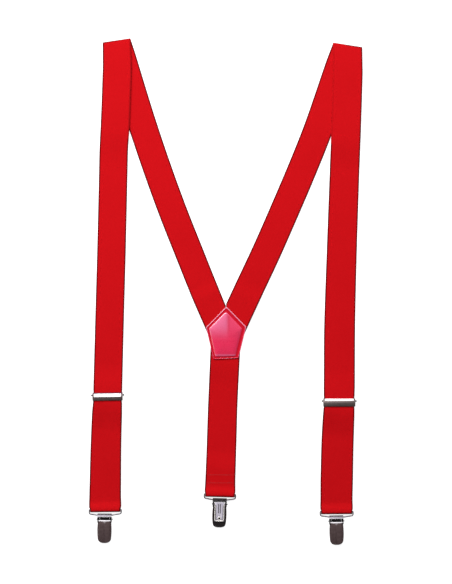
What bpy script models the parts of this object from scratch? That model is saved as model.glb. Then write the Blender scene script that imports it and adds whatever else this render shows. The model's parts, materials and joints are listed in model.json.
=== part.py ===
"""Y-back suspenders laid flat on a surface: elastic webbing, yoke, two adjusters and three clips.

+Y runs from the clips to the shoulder folds, +X to the right, +Z up from the surface.
Each side's webbing runs from the yoke up to a fold at the shoulder, comes back down over
itself, passes through the adjuster, turns round the wire loop of the clip and returns to
the adjuster. The front clips and the adjusters show their backs, the rear clip its lever.
"""

from math import atan2, cos, pi, radians, sin, sqrt

import bmesh
import bpy
from mathutils import Matrix, Vector

MM = 0.001
GAP = 0.3

# All the dimensions below are in millimetres.
WEB = 1.3                 # thickness of the webbing
LIE = WEB / 2             # height of the middle of webbing that lies on the surface
OVER = 1.5 * WEB + GAP    # the same where it lies on another layer of webbing

# Routes of the webbing: x, y and width, from the shoulder folds down.
SHOULDER_FOLDS = {
    "left": ((-145.3, 296.6), (-113.3, 301.3)),
    "right": ((127.5, 296.4), (160.7, 291.1)),
}
FRONT_ROUTES = {
    "left": [
        (-127.9, 312, 33), (-128.8, 279, 33.4), (-129.3, 258, 33.7), (-130.0, 238, 33.6),
        (-130.8, 216, 33.6), (-131.7, 195, 33.6), (-133.2, 169, 33.2), (-133.9, 138, 33.2),
        (-136.0, 48, 33.3), (-138.6, -47, 33.4), (-140.2, -113, 33.6), (-140.5, -131, 33.6),
        (-141.1, -143, 34.8), (-142.1, -170, 35.4), (-143.1, -222, 36.5), (-143.4, -244, 36.9),
        (-143.2, -262, 34.9),
    ],
    "right": [
        (145.5, 312, 34.4), (144.9, 276, 34.6), (143.2, 214, 34.5), (140.5, 138, 34.5),
        (137.4, 48, 35.0), (134.8, -47, 36.2), (134.4, -112, 36.2), (134.2, -124, 35.8),
        (134.0, -137, 35.8), (133.6, -147, 36.6), (132.6, -170, 37.4), (131.4, -222, 37.8),
        (131.1, -246, 37.3), (131.2, -264, 36.2),
    ],
}
DIAGONAL_ROUTES = {
    "left": [
        (-133.6, 312, 33), (-122.5, 275, 33), (-93.2, 181, 33), (-78.4, 138, 33),
        (-62.8, 95.5, 33), (-44.0, 48, 33), (-25.3, 0.6, 33), (-3.6, -55, 33),
    ],
    "right": [
        (151.0, 312, 34), (137.5, 275, 34), (104.5, 181, 34), (87.0, 138, 34),
        (68.8, 95.5, 34), (47.9, 48, 34), (25.7, 0.6, 34), (0.0, -55, 34),
    ],
}
REAR_ROUTE = [
    (0.2, -45, 34.4), (-1.4, -80, 34.4), (-3.6, -127.5, 34.2), (-5.7, -194, 34.6),
    (-6.7, -222, 34.9), (-7.3, -244, 35.3),
]
CROSSING_END = {"left": 192.0, "right": 184.0}   # the front strap leaves the diagonal here
STRAP_TOP = 310.0         # the straps start above the folds and are cut there
DROP_RUN = 25.0           # the front strap comes down beside the diagonal over this length
LAP_RUN = 11.0            # the doubled webbing closes up within this length of the wire

# Yoke
YOKE = [(0.5, -16.7), (24.0, -40.6), (14.8, -77.7), (-14.8, -79.1), (-23.7, -41.3)]
YOKE_MIDDLE = (0.0, -52.0)
YOKE_SEAT = 1.75          # height of the middle of the webbing inside the yoke
YOKE_JOIN = -50.0         # the diagonals end and the rear strap starts here
BACKING_THICKNESS = 0.8
COVER_THICKNESS = 0.9
PANEL_HEIGHT = 1.5        # how far the cover's padded panel stands up
PANEL_SHARE = 0.72        # size of the panel against the whole yoke
PADDING_SHARE = 0.58

# Adjusters
ADJUSTERS = {"left": (-140.4, -123.3, 0.9), "right": (134.3, -130.4, 0.0)}   # x, y, turn
ADJUSTER_SEAT = 2.35      # height of the middle of the webbing inside the adjuster
RETURN_SEAT = 4.85        # the same for the returning layer above it
SEAT_RUN = 24.0           # the webbing rises to the adjuster over this length
STRAP_JOIN = 6.0          # front and lower strap meet this far below the adjuster's middle
ADJUSTER_LENGTH = 9.2
PLATE_THICKNESS = 0.7
PLATE_ARCH = [(-3.4, 6.95), (-1.8, 7.2), (0.0, 7.1), (1.6, 6.5), (3.0, 5.5)]   # y and z of its back
BAR_LOW, BAR_HIGH = 3.3, 3.9   # the bar under the returning webbing
FLANGE_THICKNESS = 0.7
FLAP_LOW = 0.6
FLAP_THICKNESS = 0.8
FLAP_AXIS_Y = 1.6
FLAP_AXIS_Z = FLAP_LOW + FLAP_THICKNESS / 2
STUB_RADIUS = 0.4
KNOB_RADIUS = 0.95        # rounded head of a stub, outside its flange
KNOB_REACH = 2.0          # how far the head stands out of the flange

# Wire loops
WIRE_RADIUS = 0.8
LOOP_TOP_TURN = 0.9       # radius of the loop's corners beside the webbing
LOOP_LOW_TURN = 2.2       # radius of its lower corners
LOOP_RISE = 1.3           # the lower bar rises this much from the clip to each corner
LOOP_DROP = 6.6           # from the bar in the webbing to the bar in the clip
FOLD_INNER = WIRE_RADIUS + GAP
FOLD_MIDDLE = FOLD_INNER + WEB / 2
BAR_Z = WEB + FOLD_INNER
STRAP_ENDS = {"left": -257.5, "right": -259.7, "rear": -239.3}   # y of the bar in the webbing
LOOP_WIDTHS = {"left": 39.6, "right": 40.6, "rear": 38.8}        # outside the wire
REAR_HEM = 27.0           # length of the rear strap's hem

# Clips, measured from the middle of the rolled top: down the clip, and forward from the back
SHEET = 0.8               # thickness of the sheet metal
ROLL_OUTER = 1.9
ROLL_INNER = ROLL_OUTER - SHEET
ROLL_SWEEP = 290.0
ROLL_TAIL = 3.0           # the rolled sheet ends here, above the window
CLIP_HALF = 8.3           # half the width of the rolled top
CLIP_LENGTH = 32.9
TIP_START, TIP_LENGTH = 27.6, 5.4        # the rounded end of the tongue and the jaw
TIP_POWER = 2.4
TIP_ROWS = [27.6, 28.8, 29.9, 30.9, 31.7, 32.4, CLIP_LENGTH]
TONGUE_TOP = 5.9
TONGUE_HALF = 8.5
TONGUE_CROWN = 0.7        # how far the tongue's edges curve forward
TONGUE_BARREL = 0.12      # how much narrower the tongue is at its ends
EAR_LOW, EAR_HIGH = 7.6, 8.4
EAR_ROOT = 6.6            # inner side of the strips that join the roll, the ears and the tongue
EAR_TOP, EAR_FOOT = 2.2, 8.4
EAR_FRONT = 3.5
PIN_DOWN, PIN_FORWARD = 5.0, 3.9
PIN_RADIUS = 0.7
PIN_HALF = 9.8
PIN_HOLE = PIN_RADIUS + GAP
LUG_RADIUS = 1.6
JAW_BACK = 3.4
JAW_HALF = 7.2
JAW_TOP = 7.3
JAW_FLANGE = (6.2, 7.0)
JAW_FLANGE_END = 25.9
JAW_FLANGE_FRONT = 5.4
LIP_DEPTH = 0.6           # thickness of the cross lip below the jaw's flanges
JAW_CURL_START = 27.5
JAW_CURL = 2.25
LEVER_BACK = 4.9
LEVER_HALF = 5.8
LEVER_TOP, LEVER_END = 2.8, 25.4
LEVER_FLANGE = 0.7
LEVER_CORNER = 1.6
CHEEK_END = 1.7           # the lever's cheeks stop this far above its end
LEVER_HOLE_DOWN = 21.8
LEVER_HOLE_RADIUS = 1.2
GROOVE_X = 1.05
GROOVE_WIDTH = 0.8
GROOVE_DEPTH = 0.35
GROOVE_SPAN = (4.6, 16.0)
CLIP_DEPTH = LEVER_BACK + SHEET
CLIP_TURNS = {"left": -1.0, "right": 0.8, "rear": 0.0}           # degrees, on the wire loop
CLIP_SHIFTS = {"left": -0.8, "right": -0.5, "rear": 0.0}         # along the wire loop's bar

RED = (0.72, 0.012, 0.016, 1.0)
GLOSSY_RED = (0.80, 0.03, 0.10, 1.0)
NICKEL = (0.62, 0.58, 0.56, 1.0)
CHROME = (0.80, 0.78, 0.78, 1.0)
FOAM = (0.85, 0.80, 0.78, 1.0)


# ---------------------------------------------------------------- scene helpers

def clear_scene():
    for obj in list(bpy.data.objects):
        bpy.data.objects.remove(obj, do_unlink=True)


def material(name, color, metallic, roughness):
    mat = bpy.data.materials.new(name)
    mat.use_nodes = True
    shader = mat.node_tree.nodes["Principled BSDF"]
    shader.inputs["Base Color"].default_value = color
    shader.inputs["Metallic"].default_value = metallic
    shader.inputs["Roughness"].default_value = roughness
    mat.diffuse_color = color
    return mat


def add(name, mesh, mat, parent=None, place=(0, 0, 0)):
    """Put a mesh in the scene as a named sub-part, placed in millimetres under its parent."""
    obj = bpy.data.objects.new(name, mesh)
    mesh.materials.clear()
    mesh.materials.append(mat)
    obj.parent = parent
    obj.location = [value * MM for value in place]
    bpy.context.collection.objects.link(obj)
    return obj


def add_empty(name, place, turns):
    empty = bpy.data.objects.new(name, None)
    empty.location = [value * MM for value in place]
    empty.rotation_euler = turns
    bpy.context.collection.objects.link(empty)
    return empty


def finish(bm, smooth_angle=None):
    """Turn a bmesh in millimetres into a mesh in metres with its faces pointing out."""
    bmesh.ops.recalc_face_normals(bm, faces=bm.faces)
    if bm.calc_volume(signed=True) < 0:
        bmesh.ops.reverse_faces(bm, faces=bm.faces)
    bmesh.ops.scale(bm, vec=(MM, MM, MM), verts=bm.verts)
    mesh = bpy.data.meshes.new("solid")
    bm.to_mesh(mesh)
    bm.free()
    if smooth_angle:
        mesh.shade_smooth()
        mesh.set_sharp_from_angle(angle=radians(smooth_angle))
    return mesh


def combine(mesh, others, operation):
    """Union or difference of a mesh with a list of others."""
    collection = bpy.context.collection
    base = bpy.data.objects.new("base", mesh)
    collection.objects.link(base)
    tools = []
    for other in others:
        tool = bpy.data.objects.new("tool", other)
        collection.objects.link(tool)
        tools.append(tool)
        modifier = base.modifiers.new(operation, "BOOLEAN")
        modifier.operation = operation
        modifier.solver = "EXACT"
        modifier.object = tool
    evaluated = base.evaluated_get(bpy.context.evaluated_depsgraph_get())
    result = bpy.data.meshes.new_from_object(evaluated)
    for obj in [base] + tools:
        bpy.data.objects.remove(obj)
    return result


# ---------------------------------------------------------------- solids

def prism(outline, low, high, axis="Z"):
    """Extrude an outline from low to high along Z, or along X with the outline as (y, z)."""
    bm = bmesh.new()
    verts = [bm.verts.new((a, b, low) if axis == "Z" else (low, a, b)) for a, b in outline]
    face = bm.faces.new(verts)
    rise = (0, 0, high - low) if axis == "Z" else (high - low, 0, 0)
    grown = bmesh.ops.extrude_face_region(bm, geom=[face])["geom"]
    moved = [item for item in grown if isinstance(item, bmesh.types.BMVert)]
    bmesh.ops.translate(bm, verts=moved, vec=rise)
    return finish(bm)


def box(low, high):
    (x0, y0, z0), (x1, y1, z1) = low, high
    return prism([(x0, y0), (x1, y0), (x1, y1), (x0, y1)], z0, z1)


def arc(middle, radius, start, end, steps):
    """Points of an arc in degrees."""
    points = []
    for step in range(steps + 1):
        angle = radians(start + (end - start) * step / steps)
        points.append((middle[0] + radius * cos(angle), middle[1] + radius * sin(angle)))
    return points


def rounded(low, high, radius, steps=4):
    """Rectangle with rounded corners."""
    (x0, y0), (x1, y1) = low, high
    points = arc((x1 - radius, y1 - radius), radius, 0, 90, steps)
    points += arc((x0 + radius, y1 - radius), radius, 90, 180, steps)
    points += arc((x0 + radius, y0 + radius), radius, 180, 270, steps)
    points += arc((x1 - radius, y0 + radius), radius, 270, 360, steps)
    return points


def cylinder(radius, low, high, y, z, sides=16):
    """Cylinder along X."""
    outline = arc((y, z), radius, 0, 360 - 360 / sides, sides - 1)
    return prism(outline, low, high, "X")


def turned(profile, sides=14):
    """Solid turned about X from a profile of (x, radius) points."""
    bm = bmesh.new()
    rings = []
    for x, radius in profile:
        circle = arc((0, 0), radius, 0, 360 - 360 / sides, sides - 1)
        rings.append([bm.verts.new((x, a, b)) for a, b in circle])
    bm.faces.new(rings[0])
    bm.faces.new(rings[-1])
    for one, two in zip(rings, rings[1:]):
        for k in range(sides):
            n = (k + 1) % sides
            bm.faces.new((one[k], one[n], two[n], two[k]))
    return finish(bm, 40)


def curved_plate(rows, half, back, crown, thickness, across=8):
    """Plate of rows down the clip; half, back and crown give each row's shape."""
    bm = bmesh.new()
    layers = []
    for side in (0, thickness):
        layer = []
        for down in rows:
            row = []
            for k in range(across + 1):
                share = 2 * k / across - 1
                x = half(down) * share
                z = back(down) + crown * (x / TONGUE_HALF) ** 2 + side
                row.append(bm.verts.new((x, -down, z)))
            layer.append(row)
        layers.append(layer)
    for layer in layers:
        for one, two in zip(layer, layer[1:]):
            for k in range(across):
                bm.faces.new((one[k], one[k + 1], two[k + 1], two[k]))
    lower, upper = layers
    for r in range(len(rows) - 1):
        for k in (0, across):
            bm.faces.new((lower[r][k], lower[r + 1][k], upper[r + 1][k], upper[r][k]))
    for r in (0, len(rows) - 1):
        for k in range(across):
            bm.faces.new((lower[r][k], lower[r][k + 1], upper[r][k + 1], upper[r][k]))
    return finish(bm, 40)


# ---------------------------------------------------------------- webbing

def spline(values, share):
    """Catmull-Rom value between the middle two of four values."""
    a, b, c, d = values
    return 0.5 * (2 * b + (c - a) * share + (2 * a - 5 * b + 4 * c - d) * share ** 2
                  + (3 * b - a - 3 * c + d) * share ** 3)


def plan(route, y):
    """Middle, half width and sideways direction of a route at y."""
    last = len(route) - 2
    k = 0
    while k < last and y < route[k + 1][1]:
        k += 1
    around = [route[max(k - 1, 0)], route[k], route[k + 1], route[min(k + 2, last + 1)]]
    share = min(max((route[k][1] - y) / (route[k][1] - route[k + 1][1]), 0.0), 1.0)
    x = spline([point[0] for point in around], share)
    width = route[k][2] + (route[k + 1][2] - route[k][2]) * share
    run = Vector((route[k + 1][0] - route[k][0], route[k + 1][1] - route[k][1], 0)).normalized()
    return x, width / 2, Vector((-run.y, run.x, 0))


def heights(stops, step=25.0, ramp_steps=6):
    """Points (y, z) down a strap: level stretches, and smooth ramps between unequal heights."""
    points = [stops[0]]
    for (y0, z0), (y1, z1) in zip(stops, stops[1:]):
        count = ramp_steps if z0 != z1 else max(1, round(abs(y1 - y0) / step))
        for k in range(1, count + 1):
            share = k / count
            blend = share * share * (3 - 2 * share)
            points.append((y0 + (y1 - y0) * share, z0 + (z1 - z0) * blend))
    return points


def turn_round_bar(bar_y, start, end, steps=10):
    """Points (y, z) of webbing that turns round the bar of a wire loop, angles in degrees."""
    return arc((bar_y, BAR_Z), FOLD_MIDDLE, start, end, steps)


def webbing(route, points, cuts=()):
    """Sweep the webbing's section along points (y, z); cuts are planes (point, normal) kept behind."""
    bm = bmesh.new()
    middles = []
    for y, z in points:
        x, half, sideways = plan(route, y)
        middles.append((Vector((x, y, z)), half, sideways))
    rings = []
    for k, (middle, half, sideways) in enumerate(middles):
        before = middles[max(k - 1, 0)][0]
        after = middles[min(k + 1, len(middles) - 1)][0]
        normal = (after - before).normalized().cross(sideways).normalized()
        corners = []
        for across, up in ((-1, -1), (1, -1), (1, 1), (-1, 1)):
            corners.append(bm.verts.new(middle + sideways * half * across + normal * up * WEB / 2))
        rings.append(corners)
    bm.faces.new(rings[0])
    bm.faces.new(rings[-1])
    for one, two in zip(rings, rings[1:]):
        for k in range(4):
            n = (k + 1) % 4
            bm.faces.new((one[k], one[n], two[n], two[k]))
    for point, normal in cuts:
        geometry = bm.verts[:] + bm.edges[:] + bm.faces[:]
        bmesh.ops.bisect_plane(bm, geom=geometry, plane_co=point, plane_no=normal, clear_outer=True)
        open_edges = [edge for edge in bm.edges if edge.is_boundary]
        bmesh.ops.contextual_create(bm, geom=open_edges)
    return finish(bm)


def fold_cut(side):
    """Plane just inside a shoulder fold."""
    (x0, y0), (x1, y1) = SHOULDER_FOLDS[side]
    along = Vector((x1 - x0, y1 - y0, 0)).normalized()
    outward = Vector((-along.y, along.x, 0))
    return Vector((x0, y0, 0)) - outward * GAP, outward


def make_diagonal(side, mat):
    route = DIAGONAL_ROUTES[side]
    toward = -1 if side == "left" else 1
    middle = (Vector((toward * GAP / 2, 0, 0)), Vector((-toward, 0, 0)))
    foot = (Vector((0, YOKE_JOIN + GAP, 0)), Vector((0, -1, 0)))
    foot_y = YOKE_JOIN - 5
    points = heights([(STRAP_TOP, LIE), (12, LIE), (-8, YOKE_SEAT), (foot_y, YOKE_SEAT)])
    mesh = webbing(route, points, [fold_cut(side), middle, foot])
    return add(side + "_diagonal", mesh, mat)


def make_front_strap(side, mat):
    leave = CROSSING_END[side]
    seat = ADJUSTERS[side][1]
    stops = [(STRAP_TOP, OVER), (leave, OVER), (leave - DROP_RUN, LIE), (seat + SEAT_RUN, LIE),
             (seat + 7, ADJUSTER_SEAT), (seat - STRAP_JOIN, ADJUSTER_SEAT)]
    mesh = webbing(FRONT_ROUTES[side], heights(stops), [fold_cut(side)])
    return add(side + "_front_strap", mesh, mat)


def make_lower_strap(side, mat):
    """Doubled webbing: down from the adjuster, round the clip's wire and back up."""
    seat = ADJUSTERS[side][1]
    bar = STRAP_ENDS[side]
    top = BAR_Z + FOLD_MIDDLE
    down = heights([(seat - STRAP_JOIN - GAP, ADJUSTER_SEAT), (seat - SEAT_RUN, LIE), (bar, LIE)])
    back = heights([(bar, top), (bar + LAP_RUN, OVER), (seat - SEAT_RUN - 1, OVER),
                    (seat - 7.3, RETURN_SEAT), (seat - 1.5, RETURN_SEAT)])
    points = down + turn_round_bar(bar, 270, 90)[1:-1] + back
    return add(side + "_lower_strap", webbing(FRONT_ROUTES[side], points), mat)


def make_rear_strap(mat):
    """Webbing from the yoke down over its own hem and round the rear clip's wire."""
    bar = STRAP_ENDS["rear"]
    hem_end = bar + REAR_HEM
    top = BAR_Z + FOLD_MIDDLE
    head = (Vector((0, YOKE_JOIN, 0)), Vector((0, 1, 0)))
    down = heights([(YOKE_JOIN + 3, YOKE_SEAT), (-82, YOKE_SEAT), (-100, LIE), (hem_end + 10, LIE),
                    (hem_end + 0.5, OVER), (bar + LAP_RUN, OVER), (bar, top)])
    points = down + turn_round_bar(bar, 90, 270)[1:] + [(hem_end, LIE)]
    return add("rear_strap", webbing(REAR_ROUTE, points, [head]), mat)


# ---------------------------------------------------------------- yoke

def scaled(outline, share):
    cx, cy = YOKE_MIDDLE
    return [(cx + (x - cx) * share, cy + (y - cy) * share) for x, y in outline]


def make_yoke(cover_mat, backing_mat, padding_mat):
    add("yoke_backing", prism(YOKE[::-1], 0, BACKING_THICKNESS), backing_mat)
    low = YOKE_SEAT + WEB / 2 + GAP
    rim = prism(YOKE[::-1], low, low + COVER_THICKNESS)
    panel = prism(scaled(YOKE, PANEL_SHARE)[::-1], low + 0.1, low + COVER_THICKNESS + PANEL_HEIGHT)
    recess = scaled(YOKE, PADDING_SHARE + 0.04)[::-1]
    hollow = prism(recess, low - 1, low + PANEL_HEIGHT)
    cover = combine(combine(rim, [panel], "UNION"), [hollow], "DIFFERENCE")
    add("yoke_cover", cover, cover_mat)
    padding = prism(scaled(YOKE, PADDING_SHARE)[::-1], low, low + PANEL_HEIGHT - GAP)
    add("yoke_padding", padding, padding_mat)


# ---------------------------------------------------------------- adjusters

def adjuster_frame(half):
    """Arched back plate with side flanges and the bar under the returning webbing."""
    edge = ADJUSTER_LENGTH / 2
    outer = [(-edge, 6.5)] + PLATE_ARCH + [(edge, 4.1)]
    inner = [(y - (PLATE_THICKNESS / 2 if y > 1 else 0), z - PLATE_THICKNESS) for y, z in outer]
    outside = half + GAP + FLANGE_THICKNESS
    plate = prism(outer + inner[::-1], -outside, outside, "X")
    side = [(-edge, 0), (-edge, 6.4)] + [(y, z - 0.1) for y, z in PLATE_ARCH] + [(edge, 4.0), (edge, 0)]
    left = prism(side, -outside, -outside + FLANGE_THICKNESS, "X")
    right = prism(side, outside - FLANGE_THICKNESS, outside, "X")
    bar = box((-outside + 0.1, -edge + 0.2, BAR_LOW), (outside - 0.1, -edge + 2.7, BAR_HIGH))
    frame = combine(plate, [left, right, bar], "UNION")
    hole = cylinder(STUB_RADIUS + GAP, -outside - 1, outside + 1, FLAP_AXIS_Y, FLAP_AXIS_Z)
    return combine(frame, [hole], "DIFFERENCE")


def adjuster_flap(half):
    """Flap with a rounded upper edge, and a stub with a round head at each side."""
    middle = FLAP_THICKNESS / 2
    profile = arc((0, 0), middle, -90, 90, 6)
    lower = 0.2 - ADJUSTER_LENGTH / 2 - FLAP_AXIS_Y
    profile += [(lower + 0.5, middle), (lower, 0), (lower + 0.5, -middle)]
    plate = prism(profile, -half, half, "X")
    head = half + GAP + FLANGE_THICKNESS + GAP
    reach = head - GAP + KNOB_REACH
    stub = [(head, STUB_RADIUS), (head, KNOB_RADIUS), (reach - 0.5, KNOB_RADIUS), (reach, KNOB_RADIUS / 2)]
    mirrored = [(-x, radius) for x, radius in reversed(stub)]
    return combine(plate, [turned(mirrored + stub, 12)], "UNION")


def make_adjuster(side, mat):
    x, y, turn = ADJUSTERS[side]
    half = plan(FRONT_ROUTES[side], y)[1]
    seat = add_empty(side + "_adjuster_seat", (x, y, 0), (0, 0, radians(turn)))
    add(side + "_adjuster_frame", adjuster_frame(half), mat, seat)
    add(side + "_adjuster_flap", adjuster_flap(half), mat, seat, (0, FLAP_AXIS_Y, FLAP_AXIS_Z))


# ---------------------------------------------------------------- wire loops and clips

def loop_mesh(width):
    """Wire loop in its own plane, the upper bar at the origin, the lower bar LOOP_DROP below."""
    half = width / 2 - WIRE_RADIUS
    side = LOOP_DROP - LOOP_RISE
    right = arc((half - LOOP_TOP_TURN, -LOOP_TOP_TURN), LOOP_TOP_TURN, 90, 0, 4)
    right += arc((half - LOOP_LOW_TURN, LOOP_LOW_TURN - side), LOOP_LOW_TURN, 0, -80, 4)
    right.append((CLIP_HALF + 0.6, -LOOP_DROP))
    path = right + [(-x, y) for x, y in reversed(right)]
    curve = bpy.data.curves.new("wire", "CURVE")
    curve.dimensions = "3D"
    curve.bevel_depth = WIRE_RADIUS * MM
    curve.bevel_resolution = 2
    line = curve.splines.new("POLY")
    line.points.add(len(path) - 1)
    for point, (x, y) in zip(line.points, path):
        point.co = (x * MM, y * MM, 0, 1)
    line.use_cyclic_u = True
    holder = bpy.data.objects.new("holder", curve)
    bpy.context.collection.objects.link(holder)
    evaluated = holder.evaluated_get(bpy.context.evaluated_depsgraph_get())
    mesh = bpy.data.meshes.new_from_object(evaluated)
    bpy.data.objects.remove(holder)
    mesh.shade_smooth()
    return mesh


def rounded_tip(down):
    """Share of the full width that is left in the rounded end of the tongue or the jaw."""
    share = max(down - TIP_START, 0) / TIP_LENGTH
    return (1 - share ** TIP_POWER) ** (1 / TIP_POWER)


def tongue_half(down):
    """Half the tongue's width: barrel sides and a rounded end."""
    return TONGUE_HALF * (1 - TONGUE_BARREL * ((down - 18) / 13) ** 2) * rounded_tip(down)


def body_mesh():
    """Rolled top, ears with pin holes, and the back jaw below the window."""
    back = -ROLL_OUTER
    roll = arc((0, 0), ROLL_OUTER, -90, -90 + ROLL_SWEEP, 16)
    roll += arc((0, 0), ROLL_INNER, -90 + ROLL_SWEEP, -90, 16)
    roll += [(-ROLL_TAIL, back + SHEET), (-ROLL_TAIL, back)]
    top = prism(roll, -CLIP_HALF, CLIP_HALF, "X")
    rows = [TONGUE_TOP, 7.5, 10, 14, 18, 22, 25] + TIP_ROWS
    tongue = curved_plate(rows, tongue_half, lambda down: back, TONGUE_CROWN, SHEET)
    parts = [tongue]
    for side in (-1, 1):
        low, high = sorted((side * EAR_LOW, side * EAR_HIGH))
        inner, outer = sorted((side * EAR_ROOT, side * EAR_HIGH))
        strip_top = (outer, -EAR_TOP + 0.6, back + SHEET + 0.1)
        parts.append(box((inner, -EAR_FOOT - 0.2, back + 0.05), strip_top))
        ear = [(-EAR_FOOT, back + 0.1), (-EAR_FOOT + 0.5, EAR_FRONT - 0.3), (-EAR_FOOT + 1.2, EAR_FRONT),
               (-EAR_TOP - 0.6, EAR_FRONT), (-EAR_TOP - 0.1, EAR_FRONT - 0.5), (-EAR_TOP, back + 0.1)]
        parts.append(prism(ear, low, high, "X"))
    solid = combine(top, parts, "UNION")
    hole = cylinder(PIN_HOLE, -12, 12, -PIN_DOWN, PIN_FORWARD - ROLL_OUTER)
    return combine(solid, [hole], "DIFFERENCE")


def shifted(mesh, offset):
    mesh.transform(Matrix.Translation([value * MM for value in offset]))
    return mesh


def to_pin(mesh):
    """Move a mesh made from the roll's middle so that the pin's axis is its origin."""
    return shifted(mesh, (0, PIN_DOWN, ROLL_OUTER - PIN_FORWARD))


def jaw_half(down):
    """Half the jaw's width, a little wider below its flanges."""
    return (JAW_HALF + 0.5 * min(max((down - 20) / 6, 0), 1)) * rounded_tip(down)


def jaw_back(down):
    curl = max(down - JAW_CURL_START, 0) / (CLIP_LENGTH - JAW_CURL_START)
    return JAW_BACK - ROLL_OUTER - JAW_CURL * curl ** 2


def jaw_mesh():
    """Front jaw: plate that curls back at its tip, side flanges, cross lip and two lugs."""
    rows = [JAW_TOP, 12, 16, 20, 23, 25.5] + TIP_ROWS
    plate = curved_plate(rows, jaw_half, jaw_back, 0, SHEET)
    back = JAW_BACK - ROLL_OUTER
    front = JAW_FLANGE_FRONT - ROLL_OUTER
    pin_z = PIN_FORWARD - ROLL_OUTER
    parts = []
    for side in (-1, 1):
        low, high = sorted((side * JAW_FLANGE[0], side * JAW_FLANGE[1]))
        profile = [(-JAW_FLANGE_END, back + 0.1), (-JAW_FLANGE_END, front), (-PIN_DOWN, front)]
        profile += arc((-PIN_DOWN, pin_z), LUG_RADIUS, 75, -75, 8)
        profile += [(-JAW_TOP - 0.5, back + 0.1)]
        parts.append(prism(profile, low, high, "X"))
    lip = JAW_FLANGE[1] - 0.05
    low = (-lip, -JAW_FLANGE_END - LIP_DEPTH, back + 0.2)
    parts.append(box(low, (lip, -JAW_FLANGE_END + 0.05, front - 0.4)))
    solid = combine(plate, parts, "UNION")
    hole = cylinder(PIN_HOLE, -12, 12, -PIN_DOWN, pin_z)
    return to_pin(combine(solid, [hole], "DIFFERENCE"))


def lever_mesh():
    """Lever: channel with two pressed grooves, a hole near its end and a cheek at each side."""
    back = LEVER_BACK - ROLL_OUTER
    pin_z = PIN_FORWARD - ROLL_OUTER
    outline = rounded((-LEVER_HALF, -LEVER_END), (LEVER_HALF, -LEVER_TOP), LEVER_CORNER)
    plate = prism(outline, back, back + SHEET)
    parts = []
    for side in (-1, 1):
        low, high = sorted((side * (LEVER_HALF - LEVER_FLANGE), side * (LEVER_HALF - 0.02)))
        profile = [(-LEVER_END + CHEEK_END, back + 0.1), (-LEVER_END + CHEEK_END, back - 0.4),
                   (-7.4, back - 0.4)]
        profile += arc((-PIN_DOWN, pin_z), LUG_RADIUS, 200, 380, 10)
        profile += [(-3.9, back + 0.1)]
        parts.append(prism(profile, low, high, "X"))
    solid = combine(plate, parts, "UNION")
    cuts = [cylinder(PIN_HOLE, -12, 12, -PIN_DOWN, pin_z)]
    hole = arc((0, -LEVER_HOLE_DOWN), LEVER_HOLE_RADIUS, 0, 340, 17)
    cuts.append(prism(hole, back - 1, back + 2))
    for side in (-1, 1):
        middle = side * GROOVE_X
        low = (middle - GROOVE_WIDTH / 2, -GROOVE_SPAN[1])
        high = (middle + GROOVE_WIDTH / 2, -GROOVE_SPAN[0])
        cuts.append(prism(rounded(low, high, 0.35, 2), back + SHEET - GROOVE_DEPTH, back + 2))
    return to_pin(combine(solid, cuts, "DIFFERENCE"))


def pin_mesh():
    flat = PIN_HALF - 1.0
    point = PIN_RADIUS / 3
    profile = [(-PIN_HALF, point), (-flat, PIN_RADIUS), (flat, PIN_RADIUS), (PIN_HALF, point)]
    return turned(profile)


def make_clip(side, nickel, chrome):
    y = STRAP_ENDS[side]
    x, _, sideways = plan(REAR_ROUTE if side == "rear" else FRONT_ROUTES[side], y)
    turn = atan2(sideways.y, sideways.x)
    faces_up = side == "rear"
    roll_z = ROLL_OUTER if faces_up else CLIP_DEPTH - ROLL_OUTER
    rise = roll_z - BAR_Z
    reach = sqrt(LOOP_DROP ** 2 - rise ** 2)
    loop_seat = add_empty(side + "_loop_seat", (x, y, BAR_Z), (-atan2(rise, reach), 0, turn))
    add(side + "_wire_loop", loop_mesh(LOOP_WIDTHS[side]), nickel, loop_seat)
    shift = CLIP_SHIFTS[side]
    place = (x + reach * sin(turn) + shift * cos(turn), y - reach * cos(turn) + shift * sin(turn), roll_z)
    flip = 0 if faces_up else pi
    seat = add_empty(side + "_clip_seat", place, (0, flip, turn + radians(CLIP_TURNS[side])))
    pin_place = (0, -PIN_DOWN, PIN_FORWARD - ROLL_OUTER)
    add(side + "_clip_body", body_mesh(), nickel, seat)
    add(side + "_clip_pin", pin_mesh(), nickel, seat, pin_place)
    add(side + "_clip_jaw", jaw_mesh(), nickel, seat, pin_place)
    add(side + "_clip_lever", lever_mesh(), chrome, seat, pin_place)


def main():
    clear_scene()
    red = material("red_webbing", RED, 0.0, 0.85)
    glossy = material("glossy_red", GLOSSY_RED, 0.0, 0.25)
    lining = material("red_lining", RED, 0.0, 0.6)
    foam = material("foam", FOAM, 0.0, 0.9)
    nickel = material("nickel", NICKEL, 1.0, 0.3)
    chrome = material("chrome", CHROME, 1.0, 0.15)
    for side in ("left", "right"):
        make_diagonal(side, red)
        make_front_strap(side, red)
        make_lower_strap(side, red)
        make_adjuster(side, nickel)
    make_rear_strap(red)
    make_yoke(glossy, lining, foam)
    for side in ("left", "right", "rear"):
        make_clip(side, nickel, chrome)


main()
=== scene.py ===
"""Looks of the Y-back suspenders: woven elastic webbing, padded glossy yoke, nickel hardware."""

import json
from math import cos, exp, pi, radians, sin, sqrt

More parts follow.
